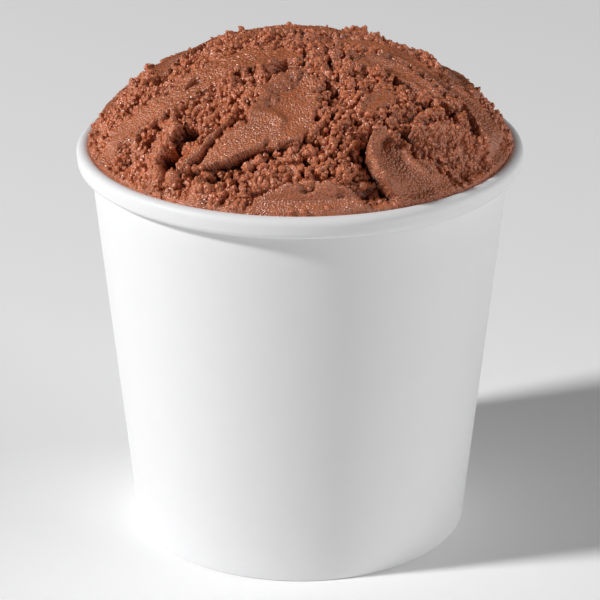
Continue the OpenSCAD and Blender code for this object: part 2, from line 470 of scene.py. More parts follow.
def turning_tree():
    """Turns a section, given as a row of points in the XZ plane, about the Z axis. Columns crowd
    near the lap, so that its edge is crisp, and the lap is a step in the outer face there"""
    tree, given, result = new_tree("turned_section", [
        ("Sectors", "Int"), ("Lap Angle", "Float"), ("Lap Width", "Float"), ("Lap Step", "Float"),
        ("Radius", "Float"), ("Crowding", "Float"), ("Material", "Material")])
    g = given.outputs
    size = add(tree, "GeometryNodeAttributeDomainSize", {"component": "MESH"}, _0=g["Geometry"])
    count = size.outputs["Point Count"]
    columns = maths(tree, "ADD", g["Sectors"], 1.0)
    grid = add(tree, "GeometryNodeMeshGrid", Size_X=1.0, Size_Y=1.0, Vertices_X=count,
               Vertices_Y=columns)
    place = add(tree, "ShaderNodeSeparateXYZ", _0=position(tree))
    # place along the section, as a point's number
    row = maths(tree, "ADD", place.outputs["X"], 0.5)
    last = maths(tree, "SUBTRACT", count, 1.0)
    index = maths(tree, "MULTIPLY", row, last)
    index = maths(tree, "ROUND", index)
    # place round the axis, from 0 to a full turn, crowded towards its two ends
    share = maths(tree, "ADD", place.outputs["Y"], 0.5)
    turn = maths(tree, "MULTIPLY", share, math.tau)
    wave = maths(tree, "SINE", turn)
    crowd = maths(tree, "MULTIPLY", wave, g["Crowding"])
    angle = maths(tree, "SUBTRACT", turn, crowd)
    # the section's point, and its step where it lies in the lap
    spot = add(tree, "GeometryNodeSampleIndex", {"data_type": "FLOAT_VECTOR"}, _0=g["Geometry"],
               Index=index)
    fill_in(tree, spot, Value=position(tree))
    weight = add(tree, "GeometryNodeSampleIndex", {"data_type": "FLOAT"}, _0=g["Geometry"],
                 Index=index)
    fill_in(tree, weight, Value=point_value(tree, "lap"))
    past = maths(tree, "MULTIPLY", angle, g["Radius"])
    inside = add(tree, "ShaderNodeMapRange", {"interpolation_type": "SMOOTHSTEP"}, Value=past,
                 From_Min=0.0, From_Max=g["Lap Width"], To_Min=1.0, To_Max=0.0)
    begun = maths(tree, "GREATER_THAN", past, 0.05 * MM)
    step = maths(tree, "MULTIPLY", inside.outputs["Result"], begun)
    step = maths(tree, "MULTIPLY", step, weight.outputs[0])
    step = maths(tree, "MULTIPLY", step, g["Lap Step"])
    section = add(tree, "ShaderNodeSeparateXYZ", _0=spot.outputs[0])
    radius = maths(tree, "ADD", section.outputs["X"], step)
    aim = maths(tree, "ADD", angle, g["Lap Angle"])
    cos = maths(tree, "COSINE", aim)
    sin = maths(tree, "SINE", aim)
    x = maths(tree, "MULTIPLY", radius, cos)
    y = maths(tree, "MULTIPLY", radius, sin)
    point = add(tree, "ShaderNodeCombineXYZ", X=x, Y=y, Z=section.outputs["Z"])
    shape = add(tree, "GeometryNodeSetPosition", _0=grid.outputs["Mesh"], Position=point.outputs[0])
    shape = add(tree, "GeometryNodeMergeByDistance", _0=shape.outputs[0], Distance=0.002 * MM)
    shape = add(tree, "GeometryNodeSetShadeSmooth", _0=shape.outputs[0])
    shape = add(tree, "GeometryNodeRealizeInstances", _0=shape.outputs[0])
    shape = add(tree, "GeometryNodeSetMaterial", _0=shape.outputs[0], Material=g["Material"])
    tree.links.new(shape.outputs[0], result.inputs[0])
    return tree


LAP_RADIUS = 42     # radius, about half way up the wall, at which the lap's width is measured


def turned(name, section, tub, crowding, material):
    """A piece turned from a section of (radius, height, lap weight)"""
    r, z, lap = section
    points = np.stack([r, np.zeros(len(r)), z], 1)
    mesh = bpy.data.meshes.new(name + "_section")
    mesh.from_pydata((points * MM).tolist(), [(i, i + 1) for i in range(len(r) - 1)], [])
    weights = mesh.attributes.new("lap", "FLOAT", "POINT")
    weights.data.foreach_set("value", lap.astype(np.float32))
    piece = new_object(name + "_section", mesh)
    tree = bpy.data.node_groups.get("turned_section") or turning_tree()
    with_nodes(piece, tree, {
        "Sectors": tub.sectors, "Lap Angle": tub.lap_angle, "Lap Width": tub.lap_width * MM,
        "Lap Step": tub.lap_step * MM, "Radius": LAP_RADIUS * MM, "Crowding": crowding,
        "Material": material})
    return baked(piece, name)


# ---------------------------------------------------------------- uneven fields, in millimetres

LATTICE = 64    # cells after which the noise repeats
BEADS = 97      # cells after which the granules do
STRIDE = 0.3    # step along a direction that a field is drawn out in


def lattice_noise(x, y, size, rng):
    """Smooth noise of about that size, between -1 and 1"""
    x, y = x / size, y / size
    x0, y0 = np.floor(x).astype(int), np.floor(y).astype(int)
    turns = rng.uniform(0, math.tau, (LATTICE, LATTICE))
    gx, gy = np.cos(turns), np.sin(turns)
    fx, fy = x - x0, y - y0
    total = 0
    for i in (0, 1):
        for j in (0, 1):
            a, b = (x0 + i) % LATTICE, (y0 + j) % LATTICE
            slope = gx[a, b] * (fx - i) + gy[a, b] * (fy - j)
            total = total + slope * weight(fx, i) * weight(fy, j)
    return total * 1.5


def weight(f, side):
    s = f ** 3 * (f * (f * 6 - 15) + 10)
    return s if side else 1 - s


def cloud(x, y, size, rng, layers=3):
    """Noise of that size with finer noise on it"""
    return sum(lattice_noise(x, y, size / 2 ** k, rng) / 2 ** k for k in range(layers))


def beads(x, y, size, rng):
    """Round-topped granules of about that size with gaps between them, 1 on top and 0 in the
    gaps, and each one's own random number"""
    x, y = x / size, y / size
    x0, y0 = np.floor(x).astype(int), np.floor(y).astype(int)
    jx, jy, own = rng.uniform(0, 1, (3, BEADS, BEADS))
    near, next_near = np.full(x.shape, 9.0), np.full(x.shape, 9.0)
    level = np.zeros(x.shape)
    for i in (-1, 0, 1):
        for j in (-1, 0, 1):
            a, b = (x0 + i) % BEADS, (y0 + j) % BEADS
            d = (x0 + i + jx[a, b] - x) ** 2 + (y0 + j + jy[a, b] - y) ** 2
            closer = d < near
            next_near = np.where(closer, near, np.minimum(next_near, d))
            near = np.where(closer, d, near)
            level = np.where(closer, own[a, b], level)
    crack = smooth((np.sqrt(next_near) - np.sqrt(near)) / 0.38)
    return np.sqrt(np.clip(1 - near / 0.72, 0, 1)) * (0.35 + 0.65 * crack), level


def sampled(field, u, v, step):
    """A square field's value at any place, its middle being (0, 0)"""
    last = field.shape[0] - 1.001
    a = np.clip(u / step + (field.shape[0] - 1) / 2, 0, last)
    b = np.clip(v / step + (field.shape[0] - 1) / 2, 0, last)
    i, j = a.astype(int), b.astype(int)
    fa, fb = a - i, b - j
    low = field[i, j] * (1 - fa) + field[i + 1, j] * fa
    high = field[i, j + 1] * (1 - fa) + field[i + 1, j + 1] * fa
    return low * (1 - fb) + high * fb


def smeared(field, u, v, turn, length, step):
    """The field drawn out along a direction that changes from place to place"""
    total, count = field.copy(), 1
    for way in (-1, 1):
        a, b, t = u.copy(), v.copy(), turn
        for _ in range(int(length / 2 / STRIDE)):
            a = a + way * STRIDE * np.cos(t)
            b = b + way * STRIDE * np.sin(t)
            t = sampled(turn, a, b, step)
            total += sampled(field, a, b, step)
            count += 1
    return total / count


def softened(field, reach):
    """The field blurred over that many cells, three times"""
    for _ in range(3):
        for axis in (0, 1):
            width = 2 * reach + 1
            pad = [(0, 0), (0, 0)]
            pad[axis] = (reach + 1, reach)
            total = np.cumsum(np.pad(field, pad, mode="edge"), axis=axis)
            size = field.shape[axis]
            ahead = np.take(total, range(width, width + size), axis)
            behind = np.take(total, range(size), axis)
            field = (ahead - behind) / width
    return field


# ---------------------------------------------------------------- spade marks

class Mark(NamedTuple):
    """One face left by the spade. Its path is three places in plan, in millimetres from the
    tub's axis, and left and right are as seen going along it"""
    path: tuple
    width: tuple          # full width at the three places
    lift: tuple           # height of its face above the mound's round, at start and end
    tilt: float = 0.0     # rise of its left edge over its middle
    cup: float = 0.3      # depth of its middle under its edges
    left: float = 0.0     # height of the ridge along its left edge
    right: float = 0.0
    under_left: float = 0.0    # how deep the ground is torn out beside that edge
    under_right: float = 0.0
    ragged: float = 0.6   # unevenness of its outline
    tooth: float = 0.0    # how much of the torn grain shows on its face, 0 to 1
    melt: float = 0.3     # width over which an edge with no tear beside it runs into the ground
    thick: float = 0.75   # thickness of the ridges along its edges


# In the order of the fields: path, width, lift, then tilt, cup, left, right, under_left,
# under_right, ragged, tooth, melt and thick
MARKS = [
    # back, oldest first: three long scrapes, a leaf and its neighbour
    Mark(((-31, 2), (-25, 18), (-12, 33)), (6, 11, 7), (0.2, 0.8), 0.5, 0.8, 0.3, 0.9, 0, 1.8, 0.9, 0.1),
    Mark(((25, 30), (32, 16), (37, 2)), (6, 9, 5), (0.7, 0.3), 0.2, 0.6, 0.7, 0.2, 1.6, 0, 0.9, 0.15),
    Mark(((-17, 23), (3, 28), (24, 26)), (6, 12, 7), (0.8, 0.5), 0, 0.9, 1.0, 0.3, 2.2, 0.4, 0.8, 0.05),
    Mark(((-14, 10), (-4, 13), (9, 11)), (3, 6, 4), (0.1, 0.3), 0.3, 0.3, 0, 0.5, 0, 1.0, 1.0, 0.2),
    Mark(((-26, 31), (-18, 37), (-9, 42)), (3, 6, 3), (0.9, 0.9), 0, 0.4, 0.9, 0, 1.6, 0, 0.6, 0.1),
    Mark(((-6, 40), (5, 41), (17, 38)), (4, 7, 4), (1.5, 1.2), 0, 0.6, 1.1, 0.2, 2.4, 0, 0.4, 0),
    Mark(((-44, 2), (-40, 12), (-34, 21)), (4, 6, 3), (0.6, 0.4), 0, 0.4, 0.5, 0.2, 1.0, 0, 0.8, 0.1),
    # left: the broad patch over the crown, the long pale scrape it runs into, and the raised
    # chunk over the deep hollow
    Mark(((-3, -8.5), (-12, -7), (-25, -9)), (7, 11, 8), (0.4, 0.2), 0.1, 0.5, 0.3, 0, 0.6, 0, 1.9, 0.35,
         1.0),
    Mark(((-44, -17), (-33, -15.5), (-19, -12)), (5, 8.5, 7), (0.4, 0.2), 0.2, 0.5, 0.1, 0.4, 0.3, 1.8,
         1.7, 0.25, 1.2),
    Mark(((-27.5, -24.2), (-29.4, -28), (-31.6, -31.2)), (3, 5.4, 3.4), (1.3, 1.3), 0.6, 0, 0.5, 0, 3.2,
         0.5, 1.0, 0.75, 0.8),
    # the right side: twin scrape, band down the far side, and the small patch under it
    Mark(((9, -0.5), (20, 0.4), (31, -7)), (4, 7, 5), (0.7, 1.0), -0.2, 0.4, 0.3, 0.3, 0.8, 0, 1.2, 0.15,
         0.8),
    Mark(((13, -5.4), (21, -6.2), (30, -12)), (3, 4.4, 3.6), (-0.5, -0.1), 1.1, 0.2, 0, 0.7, 0, 3.0, 0.7,
         0.1, 0.6),
    Mark(((34, -6), (40.5, -12), (43.5, -20)), (4, 7, 5), (1.0, 1.0), 0.4, 0.3, 0.3, 0.4, 0.6, 0.8, 0.8,
         0.1, 0.6),
    Mark(((18, -20.5), (15.5, -23.5), (12.8, -27.5)), (6, 5, 1.6), (0.5, 0.3), 0, 0.3, 0.1, 0.3, 0, 0.8,
         1.0, 0.15, 1.2),
    # right front: dark pebbled face under its own crest
    Mark(((25, -28.6), (32, -26.4), (39.5, -22.5)), (4, 8.4, 5), (-0.3, -0.1), 2.5, 0.5, 1.3, 0, 2.6, 0.6,
         0.6, 0.85, 0.5),
    # centre: the boot-shaped slab, then its sole and its toe with the sharp lip
    Mark(((-1, -20), (-2.2, -24), (-4, -28.4)), (10, 14, 14.5), (0.0, 0.7), 0.5, 1.3, 0, 1.9, 0, 0, 1.1,
         0.1, 2.4, 2.4),
    Mark(((-13, -33.2), (-6, -33.4), (1.4, -32)), (5, 5.4, 5), (1.2, 0.8), -0.2, 0.3, 0, 0.3, 0, 2.6, 0.5,
         0.08, 4.4),
    Mark(((-22, -35.7), (-15.5, -34.4), (-7, -31.2)), (0.9, 6, 8), (1.1, 1.3), 0.1, 0.7, 0, 0.35, 0, 3.0,
         0.25, 0.1, 3.0),
    # the thin rib that runs into the toe
    Mark(((-25.2, -35.2), (-21.2, -33), (-14, -27.4)), (1.0, 1.4, 0.6), (1.3, 0.5), 0, -0.3, 0, 0, 0.9,
         0.5, 0.4, 0.15, 0.8),
    # bottom: a low lens against the rim, and three rounded lumps
    Mark(((-10, -45.6), (3, -44.6), (18, -45)), (2, 4.4, 2), (0.8, 0.7), 0.5, 0.1, 0.5, 0, 1.5, 0, 0.5,
         0.15, 0.5),
    Mark(((-30.4, -33.4), (-30, -33.1), (-29.6, -32.8)), (3, 3.4, 3), (0.9, 0.9), 0, -1.3, 0, 0, 0.8, 0.9,
         0.7, 0.5, 0.8),
    Mark(((-27.2, -35.4), (-26.8, -35.6), (-26.4, -35.8)), (3, 3.6, 3), (1.1, 1.1), 0, -1.4, 0, 0, 0.8,
         1.0, 0.7, 0.5, 0.8),
    Mark(((-22, -39.6), (-20.8, -39.9), (-19.6, -40.3)), (3, 4, 3), (0.9, 0.8), 0, -1.3, 0, 0, 0.8, 0.8,
         0.8, 0.6, 0.8),
    # right front: the big leaf, first its far half and then the half with the thick lip
    Mark(((25, -35.6), (31, -36), (38.5, -33)), (6, 8, 5), (1.1, 0.8), 0.3, 0.4, 0.5, 0, 1.8, 0, 0.6,
         0.12, 0.6),
    Mark(((17.4, -32.4), (18.6, -36.4), (26.4, -38.8)), (3.2, 9.4, 9.6), (2.1, 1.4), -0.3, 2.0, 0.5, 2.1,
         1.4, 3.4, 0.2, 0.06, 0.4, 1.4),
]


class Pit(NamedTuple):
    """A hole torn into the ice cream"""
    x: float
    y: float
    length: float
    width: float
    turn: float       # degrees
    depth: float


PITS = [
    Pit(-3.5, -12.8, 6, 4.4, 25, 5.2), Pit(-11.7, -16.8, 3.4, 4.4, 70, 3.4), Pit(-23, -11.6, 4, 2, 35, 2.2),
    Pit(-14.6, -1.8, 4.4, 1.8, 15, 1.8), Pit(-8, -3, 1.8, 1.6, 0, 1.2), Pit(6, 2, 6, 4, 10, 2.4),
    Pit(-23.8, -27.2, 5, 4.2, 60, 4.4), Pit(-27.2, -30.6, 6, 3, 52, 4.4), Pit(-26, -20.3, 7, 2.4, 20, 2.6),
    Pit(-32, -23, 5, 2, 45, 2.4), Pit(26, -17.4, 7, 2, 14, 2.2), Pit(32, -14.6, 5, 3, -20, 3.4),
    Pit(-30, -2, 5, 3, 40, 2.8), Pit(-36, -5, 3.4, 2.6, 60, 2.2), Pit(8.4, -44.2, 3, 1, 0, 1.2),
    Pit(1.5, -44, 4, 1.2, 4, 1.3), Pit(24.6, -31, 5, 2.2, 0, 2.8), Pit(37, 3, 4, 2, -40, 2.0),
    Pit(-6, 20, 4, 2.2, 20, 1.6), Pit(14, 18.5, 6, 2.4, -10, 2.4), Pit(26, 36, 5, 3, -35, 2.4),
    Pit(-32, 28, 5, 3, 50, 2.6), Pit(-12, 4, 4, 2.6, 60, 1.8), Pit(20, 6, 5, 2.4, -30, 2.0),
    Pit(-38, -8, 3, 1.6, 30, 1.5), Pit(41, -4, 3, 2, -60, 1.6), Pit(15.5, -42.2, 5, 2.6, -30, 1.6),
    Pit(-17, -39.4, 9, 2, 0, 2.0), Pit(8, -21, 2.4, 3.4, -20, 2.2),
]

# Which way the torn grain is drawn out: place in plan, direction in degrees, reach, and how
# strongly it runs into ropes
DRAWN = [
    ((-5, -41), 2, 7, 0.8), ((8, -40), 20, 6, 1.0), ((5, -31), 62, 6, 1.0), ((9, -26), 60, 7, 1.0),
    ((14, -31), 46, 5, 1.0), ((21, -25), 34, 6, 0.9), ((2, -21), 45, 4, 0.8), ((18, -14), 10, 7, 0.5),
    ((-20, -27), 35, 8, 0.5), ((-33, -25), 55, 8, 0.5), ((-40, -6), 60, 8, 0.3), ((0, -6), 20, 10, 0.2),
    ((-12, -18), 30, 6, 0.3), ((30, -6), -28, 7, 0.5), ((41, -12), -60, 6, 0.5), ((0, 16), 10, 12, 0.6),
    ((-34, 20), 60, 10, 0.6), ((34, 26), -55, 10, 0.6), ((0, 40), 0, 10, 0.6), ((36, -31), 30, 6, 0.5),
]


class Round:
    """The mound's round: a spherical cap over the mouth. A place on it is (u, v), the distance
    from the crown measured along the round, in the direction seen from above"""

    def __init__(self, mound):
        self.rim = inner_radius(TUB_H - ROLL) - CREAM_GAP
        rise = mound.crown - mound.shoulder
        self.radius = (self.rim ** 2 + rise ** 2) / (2 * rise)
        self.centre = TUB_H + mound.crown - self.radius
        self.reach = self.radius * math.asin(self.rim / self.radius)

    def from_plan(self, x, y):
        r = math.hypot(x, y)
        along = self.radius * math.asin(min(1, r / self.radius))
        return (x * along / r, y * along / r) if r > 1e-9 else (0.0, 0.0)

    def place(self, u, v, height):
        """Points that high above the round"""
        rho = np.hypot(u, v)
        angle = rho / self.radius
        out = self.radius + height
        k = np.where(rho > 1e-9, np.sin(angle) / np.maximum(rho, 1e-9), 1 / self.radius)
        return np.stack([u * k * out, v * k * out, self.centre + out * np.cos(angle)], -1)


def centre_line(mark, mound_round, count=25):
    """The mark's path as a smooth line through its three places"""
    a, b, c = (np.array(mound_round.from_plan(*p)) for p in mark.path)
    bend = 2 * b - (a + c) / 2
    t = np.linspace(0, 1, count)[:, None]
    return (1 - t) ** 2 * a + 2 * t * (1 - t) * bend + t * t * c


def measured(u, v, line):
    """For each place: how far along the line it is (0 to 1), its distance to the line with its
    sign (left is positive), and the line's direction there"""
    best = np.full(u.shape, 1e9)
    along, side = np.zeros(u.shape), np.zeros(u.shape)
    dx, dy = np.zeros(u.shape), np.zeros(u.shape)
    for k in range(len(line) - 1):
        (ax, ay), (bx, by) = line[k], line[k + 1]
        lx, ly = bx - ax, by - ay
        length = math.hypot(lx, ly)
        t = np.clip(((u - ax) * lx + (v - ay) * ly) / length ** 2, 0, 1)
        d = np.hypot(u - ax - t * lx, v - ay - t * ly)
        closer = d < best
        best = np.where(closer, d, best)
        along = np.where(closer, (k + t) / (len(line) - 1), along)
        side = np.where(closer, np.sign(lx * (v - ay) - ly * (u - ax)), side)
        dx, dy = np.where(closer, lx / length, dx), np.where(closer, ly / length, dy)
    return along, best * side, dx, dy


class Relief:
    """Everything that lies on the mound's round, as square fields of one cell size"""
    STEP = 0.15         # size of a cell
    SOFT_EDGE = 0.3     # width over which a torn edge gives way to the face
    UNDERCUT = 1.6      # how far beside a torn edge the ground is torn out
    LEAN = 0.35         # how far a lip leans out for each millimetre torn out under it
    LIFT_OFF = 0.15     # last share of a path, over which the spade lifts off
    CLOD = 4.6          # size of the torn clods, and of the swells, holes and furrows
    SWELL = 13
    HOLE = 2.6
    FURROW = 2.4
    FURROW_RUN = 9      # length that furrows are drawn out to
    ROPE_RUN = 6.0      # the same for ropes of granules

    def __init__(self, mound):
        self.mound = mound
        self.round = Round(mound)
        half = math.ceil((self.round.reach + 1.5) / self.STEP)
        axis = np.arange(-half, half + 1) * self.STEP
        self.u, self.v = np.meshgrid(axis, axis, indexing="ij")
        self.rng = np.random.default_rng(mound.seed)
        self.push_u, self.push_v = np.zeros(self.u.shape), np.zeros(self.u.shape)
        self.edge_noise = cloud(self.u, self.v, 2.6, self.rng, 3)
        self.fine_noise = cloud(self.u, self.v, 0.9, self.rng, 2)
        self.turn, ropes = self.directions()
        self.grain = self.torn_grain(ropes)
        self.height = self.torn_ground()
        self.torn = np.ones(self.u.shape)
        for mark in MARKS:
            self.scrape(mark)
        for pit in PITS:
            self.dig(pit)
        self.edge()

    def directions(self):
        """Direction in which the torn grain is drawn out, and how ropy it is there"""
        c, s, total, ropes = 0, 0, 1e-6, 0
        for (x, y), degrees, reach, rope in DRAWN:
            a, b = self.round.from_plan(x, y)
            share = bell(np.hypot(self.u - a, self.v - b) / reach)
            c = c + share * math.cos(math.radians(2 * degrees))
            s = s + share * math.sin(math.radians(2 * degrees))
            total = total + share
            ropes = ropes + share * rope
        wander = 0.5 * cloud(self.u, self.v, 9, self.rng, 2)
        return np.arctan2(s, c) / 2 + wander, np.clip(ropes / total * smooth(total * 3), 0, 1)

    def torn_grain(self, ropes):
        """Granules and ropes of granules, 0 in the gaps and about 1 on top"""
        size = self.mound.grain
        bend_u = self.u + 0.35 * size * lattice_noise(self.u, self.v, 1.6 * size, self.rng)
        bend_v = self.v + 0.35 * size * lattice_noise(self.u, self.v, 1.6 * size, self.rng)
        coarse, own = beads(bend_u, bend_v, size * 1.15, self.rng)
        fine, small = beads(bend_u, bend_v, size * 0.8, self.rng)
        loose = 0.65 * coarse * (0.35 + 0.95 * own) + 0.5 * fine * (0.3 + small)
        strands = coarse * (0.3 + own)
        strands = smeared(strands, self.u, self.v, self.turn, self.ROPE_RUN, self.STEP)
        middle, spread = strands.mean(), strands.std()
        strands = smooth(0.5 + (strands - middle) / (2.6 * spread))
        ropy = 0.95 * strands * (0.55 + 0.5 * fine) + 0.15 * fine
        return loose * (1 - ropes) + ropy * ropes

    def torn_ground(self):
        """Height of the torn ice cream before any mark is made"""
        u, v = self.u, self.v
        clods, own = beads(u + 0.8 * self.edge_noise, v + 0.8 * self.edge_noise, self.CLOD, self.rng)
        swell = cloud(u, v, self.SWELL, self.rng, 3)
        holes = smooth((cloud(u, v, self.HOLE, self.rng, 2) - 0.2) / 0.45)
        furrows = cloud(u, v, self.FURROW, self.rng, 1)
        furrows = smeared(furrows, u, v, self.turn, self.FURROW_RUN, self.STEP)
        ground = -1.9 + 0.9 * swell + clods * (0.1 + 2.1 * own) + 1.9 * furrows - 2.3 * holes
        return ground + self.mound.grain_depth * self.grain

    def scrape(self, mark):
        """Lays one spade mark over what is there"""
        line = centre_line(mark, self.round)
        margin = max(mark.width) / 2 + 6
        lo, hi = line.min(0) - margin, line.max(0) + margin
        rows = np.where((self.u[:, 0] > lo[0]) & (self.u[:, 0] < hi[0]))[0]
        cols = np.where((self.v[0] > lo[1]) & (self.v[0] < hi[1]))[0]
        window = np.ix_(rows, cols)
        u, v, old = self.u[window], self.v[window], self.height[window]
        along, across, dx, dy = measured(u, v, line)
        half = np.interp(along, (0, 0.5, 1), np.array(mark.width) / 2)
        uneven = mark.ragged * (self.edge_noise[window] + 0.5 * self.fine_noise[window])
        inside = half - np.abs(across) + uneven
        q = np.clip(across / np.maximum(half, 0.1), -1, 1)
        face = mark.lift[0] + (mark.lift[1] - mark.lift[0]) * along + mark.tilt * q
        face -= mark.cup * (1 - q * q)
        streak = lattice_noise(across + 31, along * 3, 0.8, self.rng)
        face += 0.08 * streak + 0.2 * lattice_noise(u, v, 4, self.rng)
        face += mark.tooth * self.mound.grain_depth * (self.grain[window] - 0.7)
        on_left, on_right = smooth(q * 2 + 0.2), smooth(-q * 2 + 0.2)
        ridge = bell((inside - 0.55 * mark.thick) / mark.thick)
        face += ridge * (mark.left * on_left + mark.right * on_right)
        torn_off = np.where(across > 0, mark.under_left, mark.under_right) > 0
        # the spade lifts off at the path's end, so there the face runs into the ground
        ending = smooth((1 - along) / self.LIFT_OFF)
        soft = np.where(torn_off, self.SOFT_EDGE * ending + mark.melt * (1 - ending), mark.melt)
        cover = smooth(inside / soft + 0.5)
        under = np.exp(-np.maximum(-inside, 0) / self.UNDERCUT)
        under = under * (mark.under_left * on_left + mark.under_right * on_right)
        ground = old - ending * under * (0.75 + 0.5 * self.edge_noise[window])
        self.height[window] = ground * (1 - cover) + face * cover
        self.torn[window] = self.torn[window] * (1 - cover) + mark.tooth * cover
        # a sharp lip leans out over the ground beside it
        lip = bell((inside - 0.3) / 0.45)
        out_left, out_right = min(1.0, self.LEAN * mark.under_left), min(1.0, self.LEAN * mark.under_right)
        push = ending * lip * (on_left * out_left - on_right * out_right)
        self.push_u[window] = self.push_u[window] * (1 - cover) - dy * push
        self.push_v[window] = self.push_v[window] * (1 - cover) + dx * push

    def dig(self, pit):
        a, b = self.round.from_plan(pit.x, pit.y)
        turn = math.radians(pit.turn)
        u = self.u - a + 0.5 * self.edge_noise
        v = self.v - b + 0.5 * self.edge_noise
        along = (u * math.cos(turn) + v * math.sin(turn)) / (pit.length / 2)
        across = (v * math.cos(turn) - u * math.sin(turn)) / (pit.width / 2)
        q = np.hypot(along, across)
        hole = smooth((1.25 - q) / 0.6)
        self.height -= pit.depth * hole * (0.8 + 0.25 * self.grain)
        self.torn = np.maximum(self.torn, hole)

    def edge(self):
        """Drops the mound where it meets the wall, leaving it lumpy there, and works out how much painted
        shade each place gets
        """
        m = self.mound
        rho = np.hypot(self.u, self.v)
        near = np.clip((rho - self.round.reach + m.edge_band) / m.edge_band, 0, 1) ** 2
        lumps, own = beads(self.u, self.v, 2.6, self.rng)
        rest = 0.35 * np.clip(self.height, -1, 2) + self.torn * 1.4 * lumps * own - m.edge_drop
        self.height = self.height * (1 - near) + near * rest
        keep = 1 - smooth((rho - self.round.reach + 1.5) / 1.5)
        self.push_u *= keep
        self.push_v *= keep
        # painted shade, stored for the material: darker in the gaps between granules and where the ice
        # cream lies low, weaker on scraped faces and near the rim
        gap = softened(self.height, 5) - self.height
        shade_amount = 0.5 * np.clip((-1.5 - self.height) / 2.5, 0, 1)
        shadow = (0.3 + 0.7 * self.torn) * (1 - 0.7 * near)
        self.hollow = (np.clip((gap - 0.1) / 0.7, 0, 1) + shade_amount) * shadow

    def at(self, field, u, v):
        return sampled(field, u, v, self.STEP)


def disc_grid(cells):
    """A square grid bent into a disc of radius 1, equal in area everywhere"""
    a, b = np.meshgrid(np.linspace(-1, 1, cells + 1), np.linspace(-1, 1, cells + 1), indexing="ij")
    wide = np.abs(a) > np.abs(b)
    safe_a, safe_b = np.where(a == 0, 1, a), np.where(b == 0, 1, b)
    r = np.where(wide, a, b)
    turn = np.where(wide, math.pi / 4 * b / safe_a, math.pi / 2 - math.pi / 4 * a / safe_b)
    turn = np.where(r == 0, 0, turn)
    return r * np.cos(turn), r * np.sin(turn)


def mound_mesh(relief, mound):
    """One closed skin: the torn and scraped top, then down inside the wall to the base"""
    cells = mound.mesh_cells
    u, v = disc_grid(cells)
    u, v = u * relief.round.reach, v * relief.round.reach
    height = relief.at(relief.height, u, v)
    torn = relief.at(relief.torn, u, v)
    hollow = relief.at(relief.hollow, u, v)
    push_u, push_v = relief.at(relief.push_u, u, v), relief.at(relief.push_v, u, v)
    top = relief.round.place(u + push_u, v + push_v, height)
    # nothing passes the wall and the roll, and the outermost band lies against them
    r = np.hypot(top[..., 0], top[..., 1])
    room = room_at(top[..., 2])
    touching = smooth((np.hypot(u, v) - relief.round.reach + 1.2) / 1.2)
    fitted = np.minimum(r + (room - r) * touching, room)
    top[..., :2] *= (fitted / np.maximum(r, 1e-9))[..., None]
    number = np.arange((cells + 1) ** 2).reshape(cells + 1, cells + 1)
    a, b, c, d = number[:-1, :-1], number[1:, :-1], number[1:, 1:], number[:-1, 1:]
    faces = np.stack([a, b, c, d], -1).reshape(-1, 4).tolist()
    ring = np.concatenate([number[:-1, 0], number[-1, :-1], number[:0:-1, -1], number[0, :0:-1]])
    points = top.reshape(-1, 3)
    turn = np.arctan2(points[ring, 1], points[ring, 0])
    count = len(ring)
    skirt = []
    for z in (TUB_H - 3, BASE_TOP + 0.05):
        k = inner_radius(z) - CREAM_GAP
        skirt.append(np.stack([k * np.cos(turn), k * np.sin(turn), np.full(count, z)], 1))
    start = len(points)
    points = np.concatenate([points] + skirt)
    rows = [ring, np.arange(start, start + count), np.arange(start + count, start + 2 * count)]
    for upper, lower in zip(rows, rows[1:]):
        faces += np.stack([upper, lower, np.roll(lower, -1), np.roll(upper, -1)], 1).tolist()
    faces.append(rows[-1][::-1].tolist())
    mesh = mesh_from("ice_cream_mound", points, faces)
    extra = np.zeros(2 * count)
    # the torn share, and the amount of painted shade in gaps and low places, for the material
    for name, field in (("torn", torn), ("hollow", hollow)):
        values = np.concatenate([np.clip(field, 0, 1).reshape(-1), extra]).astype(np.float32)
        mesh.attributes.new(name, "FLOAT", "POINT").data.foreach_set("value", values)
    return mesh


# ---------------------------------------------------------------- crumbs

